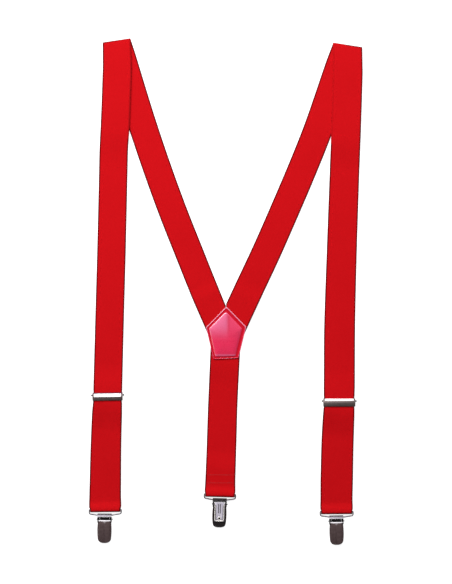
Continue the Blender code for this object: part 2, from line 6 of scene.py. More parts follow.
import bmesh
import bpy
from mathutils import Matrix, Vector


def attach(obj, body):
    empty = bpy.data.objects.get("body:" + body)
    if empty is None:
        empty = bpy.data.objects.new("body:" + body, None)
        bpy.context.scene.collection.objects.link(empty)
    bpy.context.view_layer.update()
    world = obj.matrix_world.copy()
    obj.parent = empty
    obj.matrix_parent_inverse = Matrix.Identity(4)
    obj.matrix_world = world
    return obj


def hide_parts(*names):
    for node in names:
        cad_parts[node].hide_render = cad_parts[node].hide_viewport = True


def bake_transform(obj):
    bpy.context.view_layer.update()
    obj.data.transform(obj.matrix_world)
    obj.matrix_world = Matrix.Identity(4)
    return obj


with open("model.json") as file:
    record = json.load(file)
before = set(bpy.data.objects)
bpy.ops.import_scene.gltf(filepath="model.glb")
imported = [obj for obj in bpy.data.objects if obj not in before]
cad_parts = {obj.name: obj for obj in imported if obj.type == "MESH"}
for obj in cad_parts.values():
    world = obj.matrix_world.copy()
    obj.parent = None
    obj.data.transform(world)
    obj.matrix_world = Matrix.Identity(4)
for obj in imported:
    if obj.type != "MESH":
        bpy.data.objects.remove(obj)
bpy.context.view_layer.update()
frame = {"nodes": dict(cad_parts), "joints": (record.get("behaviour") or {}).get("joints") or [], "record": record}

# Dimensions are in millimetres, in the frame of the CAD model.
MM = 0.001
WEB = 1.3                 # thickness of the webbing
LIE = WEB / 2             # middle of webbing that lies on the surface
OVER = 2.25               # middle of webbing that lies on another layer
EDGE_ROUND = 0.55         # width of the rounding at the webbing's edges
EDGE_STEPS = [0.0, 0.06, 0.18, 0.36, 0.6, 0.9, 1.25, 1.6, 2.1, 3.2, 5.5, 9.0, 13.0]
GROOVE_AT, GROOVE_WIDTH, GROOVE_DEPTH = 1.6, 0.35, 0.05    # line beside the selvedge
WIDER = 0.36              # the knitted edges stand out this far beside the solid webbing
RIB_PITCH = 1.05          # one pick of the weave along the webbing
END_PITCH = 0.95          # one warp yarn across it
# FAINT_EDGE: where the upper inner edges lie on the diagonal, their painted edge shade is as pale as this far in
FAINT_EDGE = {"left": 1.55, "right": 1.8}   # the upper inner edges look as pale as this far in
TURN_SHADE = 0.3          # how much narrower the dark line along a fold is than along an edge
RAMP = 40.0               # length of the gentle slopes from one height to another

FOLDS = {
    "left": ((-146.5, 296.8), (-113.3, 301.8)),
    "right": ((127.0, 296.7), (161.9, 291.2)),
}
FRONT_ROUTES = {
    "left": [
        (-127.9, 312, 33), (-128.8, 279, 33.4), (-129.3, 258, 33.7), (-130.0, 238, 33.6),
        (-130.8, 216, 33.6), (-131.7, 195, 33.6), (-133.2, 169, 33.2), (-133.9, 138, 33.2),
        (-136.0, 48, 33.3), (-138.6, -47, 33.4), (-140.2, -113, 33.6), (-140.5, -131, 33.6),
        (-141.1, -143, 34.8), (-142.1, -170, 35.4), (-143.1, -222, 36.5), (-143.4, -244, 36.9),
        (-143.2, -262, 34.9),
    ],
    "right": [
        (145.5, 312, 34.4), (144.9, 276, 34.6), (143.2, 214, 34.5), (140.5, 138, 34.5),
        (137.4, 48, 35.0), (134.8, -47, 36.2), (134.4, -112, 36.2), (134.2, -124, 35.8),
        (134.0, -137, 35.8), (133.6, -147, 36.6), (132.6, -170, 37.4), (131.4, -222, 37.8),
        (131.1, -246, 37.3), (131.2, -264, 36.2),
    ],
}
DIAGONAL_ROUTES = {
    "left": [
        (-133.6, 312, 33), (-122.5, 275, 33), (-93.2, 181, 33), (-78.4, 138, 33),
        (-62.8, 95.5, 33), (-44.0, 48, 33), (-25.0, 0.6, 33), (-1.4, -55, 31.6),
    ],
    "right": [
        (151.0, 312, 34), (137.5, 275, 34), (104.5, 181, 34), (87.0, 138, 34),
        (68.8, 95.5, 34), (47.9, 48, 34), (25.7, 0.6, 34), (0.0, -55, 34),
    ],
}
REAR_ROUTE = [
    (0.2, -45, 34.4), (-1.4, -80, 34.4), (-3.6, -127.5, 34.2), (-5.7, -194, 34.6),
    (-6.7, -222, 34.9), (-7.3, -244, 35.3),
]
CROSSING_END = {"left": 192.0, "right": 184.0}   # y where the front strap leaves the diagonal
FOLD_LAP = {"left": (279.0, 268.0), "right": (272.0, 262.0)}   # y where the fold's two ends meet
STRAP_ENDS = {"left": -257.5, "right": -259.7, "rear": -239.3}
ADJUSTER_Y = {"left": -123.3, "right": -130.4}
ADJUSTER_SEAT = 2.35      # middle of the webbing over the adjuster's plate
RETURN_SEAT = 4.85        # middle of the strap's end over that
SEAT_ABOVE, SEAT_BELOW = 7.0, 6.0          # level stretch over the plate, from its middle
SEAT_HOLD = (4.7, 8.0)    # the frame keeps the webbing narrow to between these distances
JOIN_GAP = 0.3            # gap between two pieces of webbing that meet end to end
LOWER_RAMP = 24.0         # the lower strap lies flat this far below the adjuster
RETURN_RAMP = 42.0        # the strap's end starts to climb this far below it
RETURN_TOP, RETURN_END = 7.3, 1.5          # it is level from the first to the second
FOLD_MIDDLE = 1.75        # middle of webbing above and below the wire
TURN_REACH = {"left": 2.4, "right": 2.7, "rear": 2.8}      # the same in front of the wire
END_FLARE = {"left": 0.9, "right": 0.5, "rear": 0.3}       # how much the webbing spreads above it
LOOP_INSIDE = {"left": 18.05, "right": 18.55, "rear": 17.65}   # half the room between its sides
LOOP_CLEAR = (1.2, 3.0)   # the wire's sides end between these heights above its bar
FLARE_RUN = (5.0, 15.0)   # and the spread fades between these
LOOP_RAMP = 11.0          # the upper layer starts to climb over the bar this far above it
BAR_Z = 2.4               # middle of the wire
REAR_HEM = 27.0           # the sewn end reaches this far above the bar
HEM_RAMP = 26.0           # the rear strap starts to climb over the hem this far above that
HEM_ROWS = (13.5, 23.0)   # the rows of stitches, above the bar

FLAP_AXIS = 1.6           # the flap's axis is this far above the adjuster's middle
ADJUSTER_RIM = 1.0        # the frame stands out this far beside the webbing
# BAND_SHIFT moves the painted highlight band on each adjuster
BAND_SHIFT = {"left": 0.0, "right": 2.6}   # the right adjuster's bright band is narrower

# Clips, from the middle of the roll down, and forward from the back
ROLL_OUTER = 1.9
LEVER_BACK, LEVER_SHEET = 4.9, 0.8
LEVER_HALF, LEVER_CORNER = 5.8, 1.6
LEVER_TOP, LEVER_END = 2.8, 25.4
LEVER_HOLE_DOWN = 21.8
BEAD_INSET = 0.55         # middle of the bead, in from the lever's edge
BEAD_RADIUS, BEAD_TURN, BEAD_TOP = 0.58, 2.2, 5.5
RING_RADIUS, RING_WIRE = 1.65, 0.42

YOKE = [(0.5, -16.7), (24.0, -40.6), (14.8, -77.7), (-14.8, -79.1), (-23.7, -41.3)]
PANEL = [(-0.1, -24.0), (17.8, -43.2), (10.3, -74.9), (-12.2, -75.6), (-19.2, -43.2)]
YOKE_SEAT = 1.75          # middle of the webbing on the lining
YOKE_JOIN = -50.0         # y where the diagonals end and the rear strap begins
YOKE_LOW = YOKE_SEAT + WEB / 2 + 0.3       # underside of the cover
WELD_ROWS = (6, 12)       # rows of the cover's faces that lie in the welded channel
PANEL_RISE = 1.32         # the panel's edge, above the underside
PANEL_SWELL = 1.25        # how much higher its middle is

CAMERA_AWAY = 2.6         # metres above the frame's origin
VIEW_TALL = 0.6926        # metres that the picture shows at that distance
SENSOR = 24.0


# ---------------------------------------------------------------- node helpers

class Nodes:
    """Short way to write a material's nodes."""

    def __init__(self, name, **values):
        self.mat = bpy.data.materials.new(name)
        self.mat.use_nodes = True
        self.tree = self.mat.node_tree
        self.shader = self.tree.nodes["Principled BSDF"]
        for key, value in values.items():
            self.shader.inputs[key.replace("_", " ").title()].default_value = value

    def node(self, kind, **values):
        """New node with its properties set."""
        made = self.tree.nodes.new(kind)
        for key, value in values.items():
            setattr(made, key, value)
        return made

    def put(self, value, socket):
        """Link an output to a socket, or set the socket to a plain value."""
        if hasattr(value, "is_output"):
            self.tree.links.new(value, socket)
        else:
            socket.default_value = value

    def math(self, operation, *values):
        """Result of a math node."""
        made = self.node("ShaderNodeMath", operation=operation)
        for value, socket in zip(values, made.inputs):
            self.put(value, socket)
        return made.outputs[0]

    def ramp(self, value, low, high, to_low=0.0, to_high=1.0):
        """Smooth step of value from low..high to to_low..to_high."""
        made = self.node("ShaderNodeMapRange", interpolation_type="SMOOTHSTEP")
        for given, socket in zip((value, low, high, to_low, to_high), made.inputs):
            self.put(given, socket)
        return made.outputs[0]

    def mix(self, share, one, two, blend="MIX"):
        """Colour between one and two, or their blend."""
        made = self.node("ShaderNodeMix", data_type="RGBA", blend_type=blend)
        self.put(share, made.inputs[0])
        self.put(one, made.inputs[6])
        self.put(two, made.inputs[7])
        return made.outputs[2]

    def noise(self, scale, detail=3.0, roughness=0.55, vector=None):
        """Noise over the object, between 0 and 1."""
        made = self.node("ShaderNodeTexNoise")
        made.inputs["Scale"].default_value = scale
        made.inputs["Detail"].default_value = detail
        made.inputs["Roughness"].default_value = roughness
        self.put(vector or self.place(), made.inputs["Vector"])
        return made.outputs[0]

    def place(self):
        """Coordinates on the object, in metres."""
        return self.node("ShaderNodeTexCoord").outputs["Object"]

    def stretched(self, scale):
        """The same, scaled by axis."""
        made = self.node("ShaderNodeMapping")
        self.put(self.place(), made.inputs["Vector"])
        made.inputs["Scale"].default_value = scale
        return made.outputs[0]

    def attribute(self, name):
        """Value written on the mesh's vertices."""
        return self.node("ShaderNodeAttribute", attribute_name=name).outputs["Fac"]

    def uv(self):
        """Millimetres across and along the webbing."""
        made = self.node("ShaderNodeSeparateXYZ")
        self.put(self.node("ShaderNodeUVMap", uv_map="weave").outputs[0], made.inputs[0])
        return made.outputs[0], made.outputs[1]

    def shaded(self, colour, shade):
        """Colour times a grey."""
        tone = self.node("ShaderNodeCombineColor")
        for socket in tone.inputs:
            self.put(shade, socket)
        return self.mix(1.0, colour, tone.outputs[0], "MULTIPLY")

    def bump(self, height, distance, strength=1.0):
        """Surface relief from a height."""
        made = self.node("ShaderNodeBump")
        made.inputs["Strength"].default_value = strength
        made.inputs["Distance"].default_value = distance
        self.put(height, made.inputs["Height"])
        self.put(made.outputs[0], self.shader.inputs["Normal"])

    def out(self, **values):
        """Put values into the shader, and give the material."""
        for key, value in values.items():
            self.put(value, self.shader.inputs[key.replace("_", " ").title()])
        return self.mat


# ---------------------------------------------------------------- materials

def webbing_material():
    """Elastic webbing: warp yarns of raised picks in brick order, with painted shade in the weave's hollows and
    along its edges and folds.
    """
    n = Nodes("elastic_webbing", sheen_weight=0.04, sheen_roughness=0.5)
    n.shader.inputs["Sheen Tint"].default_value = (1.0, 0.25, 0.22, 1.0)
    n.shader.inputs["Specular IOR Level"].default_value = 0.06
    across, along = n.uv()
    yarn = n.math("DIVIDE", across, END_PITCH)
    offset = n.math("MULTIPLY", n.math("FLOOR", yarn), 0.5)
    pick = n.math("ADD", n.math("DIVIDE", along, RIB_PITCH), offset)
    raised = n.math("ABSOLUTE", n.math("SINE", n.math("MULTIPLY", pick, pi)))
    body = n.math("ABSOLUTE", n.math("SINE", n.math("MULTIPLY", yarn, pi)))
    weave = n.math("MULTIPLY", raised, n.math("POWER", body, 0.6))
    fibres = n.noise(2600.0, 2.0)
    height = n.math("ADD", weave, n.math("MULTIPLY", fibres, 0.35))
    edge = n.attribute("edge_distance")
    cloudy = n.noise(22.0, 4.0)
    red = n.mix(cloudy, (0.450, 0.0012, 0.0036, 1), (0.500, 0.0020, 0.0048, 1))
    # valley_shade: painted shade, darker in the hollows of the weave
    valley_shade = n.ramp(weave, 0.05, 0.75, 0.80, 1.0)
    # edge_shade: painted shade along the rounded edges and fold lines, read from edge_distance
    edge_shade = n.ramp(edge, 0.9, 2.1, 0.22, 1.0)
    worn = n.math("MULTIPLY", n.ramp(n.noise(160.0, 4.0), 0.55, 0.8), 0.05)
    red = n.shaded(red, n.math("MULTIPLY", valley_shade, edge_shade))
    red = n.mix(worn, red, (0.56, 0.012, 0.016, 1))
    n.bump(height, 0.00022, 0.55)
    return n.out(base_color=red, roughness=n.ramp(height, 0.0, 1.2, 0.92, 0.72))


def thread_material(name, colour):
    """Twisted sewing thread, with painted shade in the hollows of its twist."""
    n = Nodes(name, sheen_weight=0.15)
    ply = n.math("SINE", n.math("MULTIPLY", n.noise(900.0, 1.0), 40.0))
    # dark: painted shade colour for the hollows of the twist
    dark = tuple(value * 0.6 for value in colour[:3]) + (1,)
    n.bump(ply, 0.00006, 0.5)
    ply_shaded = n.mix(n.ramp(ply, -1.0, 1.0), dark, colour)
    return n.out(base_color=ply_shaded, roughness=n.ramp(ply, -1.0, 1.0, 0.7, 0.45))


def vinyl_material():
    """Glossy padded vinyl with a fine grain, a painted highlight on its upper rim, painted reflection on its panel
    and painted shade beside its crease.
    """
    n = Nodes("glossy_vinyl", coat_weight=0.55, coat_roughness=0.10)
    n.shader.inputs["Specular IOR Level"].default_value = 0.6
    crease_shade = n.attribute("crease_shade")
    grain = n.noise(1500.0, 3.0)
    soft = n.noise(90.0, 3.0)
    base = n.mix(soft, (0.57, 0.009, 0.054, 1), (0.63, 0.014, 0.074, 1))
    # painted reflection: pale pink where the glossy panel would mirror the light
    base = n.mix(n.attribute("painted_shine"), base, (0.60, 0.105, 0.215, 1))
    # painted highlight along the rim's upper edges
    base = n.mix(n.attribute("rim_highlight"), base, (0.66, 0.24, 0.34, 1))
    # painted shade on the shaded side of the crease
    base = n.mix(crease_shade, base, (0.40, 0.006, 0.026, 1))
    n.bump(n.math("ADD", n.math("MULTIPLY", grain, 0.4), soft), 0.00012, 0.35)
    return n.out(base_color=base, roughness=n.ramp(grain, 0.3, 0.7, 0.24, 0.36))


def weld_material():
    """Dull crimson vinyl in the welded channel."""
    n = Nodes("welded_vinyl")
    n.shader.inputs["Specular IOR Level"].default_value = 0.1
    grain = n.noise(1500.0, 3.0)
    n.bump(grain, 0.00008, 0.4)
    red = n.mix(grain, (0.42, 0.0010, 0.0110, 1), (0.46, 0.0020, 0.0160, 1))
    return n.out(base_color=red, roughness=n.ramp(grain, 0.3, 0.7, 0.55, 0.75))


def lining_material():
    """Matt lining of the yoke, pebbled like leather, with painted shade in the grooves between the pebbles."""
    n = Nodes("yoke_lining")
    cells = n.node("ShaderNodeTexVoronoi", feature="DISTANCE_TO_EDGE")
    cells.inputs["Scale"].default_value = 1100.0
    n.put(n.place(), cells.inputs["Vector"])
    pebble = n.ramp(cells.outputs[0], 0.0, 0.25)
    cloudy = n.noise(70.0, 3.0)
    red = n.mix(cloudy, (0.30, 0.004, 0.010, 1), (0.40, 0.008, 0.016, 1))
    # painted shade: darker in the grooves between pebbles, where the bump is lowest
    red = n.mix(pebble, (0.22, 0.003, 0.008, 1), red)
    n.bump(pebble, 0.00012, 0.6)
    return n.out(base_color=red, roughness=n.ramp(cloudy, 0.3, 0.7, 0.5, 0.65))


def metal_material(name, bright, dull, rough, scratch, brushing):
    """Plated steel: brushing along the part, small scratches and dull patches."""
    n = Nodes(name, metallic=0.5)
    brushed = n.noise(1.0, 3.0, 0.6, n.stretched(brushing))
    patches = n.noise(260.0, 4.0)
    marks = n.ramp(n.noise(1.0, 2.0, 0.5, n.stretched((5200.0, 700.0, 5200.0))), 0.66, 0.72)
    colour = n.mix(n.ramp(patches, 0.35, 0.75), bright, dull)
    colour = n.mix(n.math("MULTIPLY", marks, scratch), colour, (0.95, 0.93, 0.92, 1))
    level = n.math("ADD", n.ramp(patches, 0.3, 0.7, rough * 0.8, rough * 1.25),
                   n.math("MULTIPLY", brushed, 0.08))
    n.bump(n.math("ADD", brushed, n.math("MULTIPLY", marks, -0.6)), 0.00003, 0.4)
    return n.out(base_color=colour, roughness=level)


def clip_material(name, roll_low, roll_high, specular):
    """Plated steel of a clip, with painted light: painted highlights where it is rolled and bent, and painted dark
    reflection on its flat tongue.

    A painted highlight point runs down from the bend, and painted shade makes the window under the roll, a line
    along the roll's top and the cheeks black.
    """
    n = Nodes(name, metallic=0.35)
    n.shader.inputs["Specular IOR Level"].default_value = specular
    down = n.attribute("down")
    across = n.math("ABSOLUTE", n.attribute("across"))
    brushed = n.noise(1.0, 3.0, 0.6, n.stretched((9000.0, 400.0, 9000.0)))
    patches = n.noise(330.0, 4.0)
    # bend_highlight: painted highlight across the bend
    bend_highlight = n.math("MULTIPLY", n.ramp(down, 6.4, 7.6, 1.0, 0.0), n.ramp(down, 5.4, 5.7))
    # point: painted highlight that runs down from the bend
    point = n.math("SUBTRACT", n.math("SUBTRACT", 11.0, across), down)
    point = n.ramp(point, 0.0, 3.5, 0.0, 0.22)
    # roll_highlight: painted highlight on the roll
    roll_highlight = n.math("MULTIPLY", n.ramp(down, 1.8, 2.2, 1.0, 0.0), n.ramp(down, -0.7, -0.2))
    bright = n.math("MAXIMUM", roll_highlight, bend_highlight)
    # window_shade: painted shade on the sheet under the roll; dark also paints a dark line along the roll's top
    window_shade = n.math("MULTIPLY", n.ramp(down, 1.9, 2.3), n.ramp(down, 5.4, 5.7, 1.0, 0.0))
    dark = n.math("MAXIMUM", window_shade, n.ramp(down, -0.7, -0.3, 1.0, 0.0))
    # cheek_shade: painted shade on the cheeks
    cheek_shade = n.math("MULTIPLY", n.ramp(across, 7.2, 7.6), n.ramp(down, 1.9, 2.3))
    dark = n.math("MAXIMUM", dark, cheek_shade)
    # tongue: dark colours that paint the flat tongue's dark reflection
    tongue = n.mix(patches, (0.048, 0.028, 0.028, 1), (0.078, 0.050, 0.050, 1))
    silver = n.mix(patches, roll_low, roll_high)
    # paler silver at the bend and the roll's lower edge: painted highlight
    silver = n.mix(n.math("MAXIMUM", bend_highlight, n.ramp(down, 1.2, 1.6)), silver, (0.86, 0.83, 0.86, 1))
    colour = n.mix(bright, n.mix(point, tongue, silver), silver)
    colour = n.mix(dark, colour, n.mix(n.ramp(down, 8.2, 10.0), (0.012, 0.010, 0.010, 1), colour))
    colour = n.shaded(colour, n.ramp(n.noise(1900.0, 2.0), 0.60, 0.75, 1.0, 0.78))
    n.bump(n.math("ADD", brushed, patches), 0.00004, 0.35)
    level = n.math("ADD", n.ramp(patches, 0.3, 0.7, 0.38, 0.50), n.math("MULTIPLY", brushed, 0.08))
    return n.out(base_color=colour, roughness=level)


def adjuster_material():
    """Plated steel of the adjusters, with painted light: a painted highlight band on top, painted dark reflection
    on the lower bevel, a painted shadow line along the top edge and painted shade at its sides.
    """
    n = Nodes("adjuster_plating", metallic=0.35)
    down = n.attribute("down")
    patches = n.noise(260.0, 4.0)
    brushed = n.noise(1.0, 3.0, 0.6, n.stretched((300.0, 9000.0, 9000.0)))
    # highlight_band: painted highlight across the upper part of the plate
    highlight_band = n.math("MULTIPLY", n.ramp(down, -3.6, -3.1), n.ramp(down, 0.0, 0.5, 1.0, 0.0))
    beyond = n.math("SUBTRACT", n.math("ABSOLUTE", n.attribute("across")), n.attribute("outside"))
    highlight_band = n.math("MULTIPLY", highlight_band, n.ramp(beyond, -2.2, -1.6, 1.0, 0.0))
    # dark: painted dark reflection on the lower bevel
    dark = n.mix(patches, (0.062, 0.044, 0.042, 1), (0.088, 0.066, 0.062, 1))
    # line: a painted shadow line along the plate's top edge, then painted shade beyond its sides
    line = n.mix(n.ramp(down, -3.3, -2.6, 1.0, 0.0), dark, (0.075, 0.010, 0.030, 1))
    line = n.mix(n.ramp(beyond, 0.0, 0.3), line, (0.022, 0.017, 0.018, 1))
    bright = n.mix(patches, (0.82, 0.80, 0.82, 1), (0.95, 0.94, 0.95, 1))
    n.bump(n.math("ADD", brushed, n.math("MULTIPLY", patches, 0.5)), 0.00002, 0.25)
    level = n.math("ADD", n.ramp(patches, 0.3, 0.7, 0.34, 0.46), n.math("MULTIPLY", brushed, 0.08))
    return n.out(base_color=n.mix(highlight_band, line, bright), roughness=level)


def lever_material():
    """Bright plated lever, with painted black shade on its inside face and in the channel by its bead."""
    n = Nodes("bright_lever", metallic=0.4)
    across = n.math("ABSOLUTE", n.attribute("across"))
    down = n.math("ABSOLUTE", n.math("SUBTRACT", n.attribute("down"), (LEVER_TOP + LEVER_END) / 2))
    corner = n.math("SUBTRACT", across, LEVER_HALF - LEVER_CORNER)
    corner_down = n.math("SUBTRACT", down, (LEVER_END - LEVER_TOP) / 2 - LEVER_CORNER)
    beyond = n.math("SQRT", n.math("ADD", n.math("POWER", n.math("MAXIMUM", corner, 0.0), 2.0),
                                   n.math("POWER", n.math("MAXIMUM", corner_down, 0.0), 2.0)))
    inside = n.math("MINIMUM", n.math("MAXIMUM", corner, corner_down), 0.0)
    depth = n.math("SUBTRACT", LEVER_CORNER, n.math("ADD", beyond, inside))
    # channel_shade: painted shade in the channel beside the bead
    channel_shade = n.math("MULTIPLY", n.ramp(depth, 0.95, 1.15), n.ramp(depth, 1.75, 2.1, 1.0, 0.0))
    channel_shade = n.math("MULTIPLY", channel_shade, n.ramp(n.attribute("down"), 5.0, 7.0))
    forward = n.attribute("forward")
    patches = n.noise(330.0, 4.0)
    marks = n.ramp(n.noise(1.0, 2.0, 0.5, n.stretched((5200.0, 700.0, 5200.0))), 0.66, 0.72)
    silver = n.mix(patches, (0.50, 0.46, 0.54, 1), (0.62, 0.58, 0.66, 1))
    silver = n.mix(n.math("MULTIPLY", marks, 0.3), silver, (0.30, 0.28, 0.30, 1))
    silver = n.mix(channel_shade, silver, (0.030, 0.024, 0.030, 1))
    # painted shade: black on the lever's inside face
    colour = n.mix(n.ramp(forward, 5.40, 5.62), (0.020, 0.017, 0.020, 1), silver)
    n.bump(n.math("ADD", patches, n.math("MULTIPLY", marks, -0.6)), 0.00002, 0.25)
    return n.out(base_color=colour, roughness=n.ramp(patches, 0.3, 0.7, 0.34, 0.46))


def floor_material():
    """Pale studio paper that glows a little, so that it stays white round the part."""
    n = Nodes("studio_floor")
    paper = n.noise(900.0, 3.0)
    n.bump(paper, 0.00005, 0.2)
    pale = n.mix(paper, (0.46, 0.46, 0.46, 1), (0.50, 0.50, 0.50, 1))
    n.shader.inputs["Emission Color"].default_value = (1, 1, 1, 1)
    n.shader.inputs["Emission Strength"].default_value = 0.85
    return n.out(base_color=pale, roughness=0.9)


# ---------------------------------------------------------------- mesh helpers

def make_object(name, bm, mat, smooth=40.0):
    """Object from a bmesh in millimetres."""
    bmesh.ops.recalc_face_normals(bm, faces=bm.faces)
    bmesh.ops.scale(bm, vec=(MM, MM, MM), verts=bm.verts)
    mesh = bpy.data.meshes.new(name)
    bm.to_mesh(mesh)
    bm.free()
    mesh.shade_smooth()
    mesh.set_sharp_from_angle(angle=radians(smooth))
    mesh.materials.append(mat)
    obj = bpy.data.objects.new(name, mesh)
    bpy.context.scene.collection.objects.link(obj)
    return obj


def smooth_step(value, low, high):
    """0 below low, 1 above high, and a smooth step between them."""
    share = min(max((value - low) / (high - low), 0.0), 1.0)
    return share * share * (3 - 2 * share)


def skin(bm, rings, closed=False):
    """Faces between rings of vertices, and over both ends unless closed; gives each row's faces."""
    pairs = list(zip(rings, rings[1:]))
    if closed:
        pairs.append((rings[-1], rings[0]))
    else:
        bm.faces.new(rings[0])
        bm.faces.new(rings[-1])
    rows = []
    for one, two in pairs:
        row = []
        for k in range(len(one)):
            following = (k + 1) % len(one)
            row.append(bm.faces.new((one[k], one[following], two[following], two[k])))
        rows.append(row)
    return rows


# ---------------------------------------------------------------- routes

def lean_between(one, two):
    """Sideways change per millimetre of y from one point of a route to another."""
    return (two[0] - one[0]) / (two[1] - one[1])


def lean_at(route, k):
    """The same at point k of a route."""
    if k == 0:
        return lean_between(route[0], route[1])
    if k == len(route) - 1:
        return lean_between(route[-2], route[-1])
    last, here, following = route[k - 1:k + 2]
    above, below = last[1] - here[1], here[1] - following[1]
    leans = lean_between(last, here) * below + lean_between(here, following) * above
    return leans / (above + below)


def plan(route, y):
    """Middle, half width and sideways direction of a route at y."""
    last = len(route) - 2
    k = 0
    while k < last and y < route[k + 1][1]:
        k += 1
    (x0, y0, width0), (x1, y1, width1) = route[k], route[k + 1]
    span = y1 - y0
    share = min(max((y - y0) / span, 0.0), 1.0)
    start, end = lean_at(route, k) * span, lean_at(route, k + 1) * span
    drift = x1 - x0
    square = 3 * drift - 2 * start - end
    cube = start + end - 2 * drift
    x = x0 + share * (start + share * (square + share * cube))
    lean = (start + share * (2 * square + share * 3 * cube)) / span
    run = Vector((-lean, -1, 0)).normalized()
    return x, (width0 + (width1 - width0) * share) / 2, Vector((-run.y, run.x, 0))


def heights(stops, step=4.0):
    """Points (y, z) down a strap: level stretches, and smooth ramps between unequal heights."""
    points = [stops[0]]
    for (y0, z0), (y1, z1) in zip(stops, stops[1:]):
        count = max(1, round(abs(y1 - y0) / (step if z0 == z1 else step / 3)))
        for k in range(1, count + 1):
            share = k / count
            blend = share * share * (3 - 2 * share)
            points.append((y0 + (y1 - y0) * share, z0 + (z1 - z0) * blend))
    return points


def turn_round_bar(bar_y, reach, start, end, steps=16):
    """Points (y, z) of webbing round the bar of a wire loop, reaching that far below it."""
    points = []
    for step in range(steps + 1):
        angle = radians(start + (end - start) * step / steps)
        points.append((bar_y + reach * cos(angle), BAR_Z + FOLD_MIDDLE * sin(angle)))
    return points


# ---------------------------------------------------------------- webbing

def rows_of(route, points, seat=999.0, bar=-999.0, flare=0.0, limit=0.0):
    """Rows across the webbing: (west point, east point, normal, length along at each).

    The webbing narrows in the adjuster at y = seat. Above the wire loop's bar at y = bar it
    spreads by the flare, and at the bar half its width keeps to the limit.
    """
    middles = [(plan(route, y), y, z) for y, z in points]
    centres = [Vector((m[0], y, z)) for m, y, z in middles]
    rows = []
    along = 0.0
    for k, ((x, half, sideways), y, z) in enumerate(middles):
        half += WIDER * smooth_step(abs(y - seat), *SEAT_HOLD)
        if y < bar + FLARE_RUN[1]:
            half += flare * (1 - smooth_step(y - bar, *FLARE_RUN))
            half = min(half, limit + smooth_step(y - bar, *LOOP_CLEAR))
        before = centres[max(k - 1, 0)]
        after = centres[min(k + 1, len(centres) - 1)]
        normal = (after - before).normalized().cross(sideways).normalized()
        if k:
            along += (centres[k] - centres[k - 1]).length
        west = centres[k] - sideways * half
        east = centres[k] + sideways * half
        if west.x > east.x:
            west, east = east, west
        rows.append((west, east, normal, along, along))
    return rows


def section(width):
    """Distances across the webbing, closer together at its rounded edges."""
    return EDGE_STEPS + [width / 2] + [width - value for value in reversed(EDGE_STEPS)]


def half_thickness(distance):
    """Half the webbing's thickness at a distance from its edge, with a line beside the selvedge."""
    round_off = 1 - min(distance / EDGE_ROUND, 1.0)
    groove = GROOVE_DEPTH * exp(-((distance - GROOVE_AT) / GROOVE_WIDTH) ** 2)
    return WEB / 2 * sqrt(max(1 - round_off ** 2, 0.0)) - groove


def ribbon(name, rows, mat, cuts=(), turn=None, faint=None):
    """Closed band of webbing through rows, with its weave coordinates and edge distances; the edge distances set
    the painted edge shade.

    A turn is the line (point, outward) that the webbing folds round; painted shade darkens it like an edge.
    Faint is (side, y, distance): above y the painted shade on that side's edge is no darker than at that distance.
    """
    bm = bmesh.new()
    layer = bm.loops.layers.uv.new("weave")
    distance_layer = bm.verts.layers.float.new("edge_distance")
    places = {}
    rings = []
    for west, east, normal, along_west, along_east in rows:
        width = (east - west).length
        tip = 99.0
        if turn:
            point, outward = turn
            tip = (point - (west + east) / 2).dot(outward) - WEB / 2 * abs(normal.dot(outward))
        ring = []
        across = section(width)
        for side, shares in ((1, across), (-1, across[-2:0:-1])):
            for value in shares:
                share = value / width
                edge = min(value, width - value)
                rise = normal * side * half_thickness(edge)
                vert = bm.verts.new(west.lerp(east, share) + rise)
                # edge_distance carries the painted shade: near an edge or a fold line the webbing darkens
                seen = min(edge, max(tip + TURN_SHADE, 0.0))
                if faint and normal.z > 0.5 and west.y > faint[1] and (share - 0.5) * faint[0] > 0:
                    seen = max(seen, faint[2])
                vert[distance_layer] = seen
                places[vert] = (value, along_west + (along_east - along_west) * share)
                ring.append(vert)
        rings.append(ring)
    skin(bm, rings)
    for face in bm.faces:
        for loop in face.loops:
            loop[layer].uv = places[loop.vert]
    for point, normal in cuts:
        geometry = bm.verts[:] + bm.edges[:] + bm.faces[:]
        bmesh.ops.bisect_plane(bm, geom=geometry, plane_co=point, plane_no=normal, clear_outer=True)
        open_edges = [edge for edge in bm.edges if edge.is_boundary]
        bmesh.ops.contextual_create(bm, geom=open_edges)
    obj = make_object(name, bm, mat)
    return obj


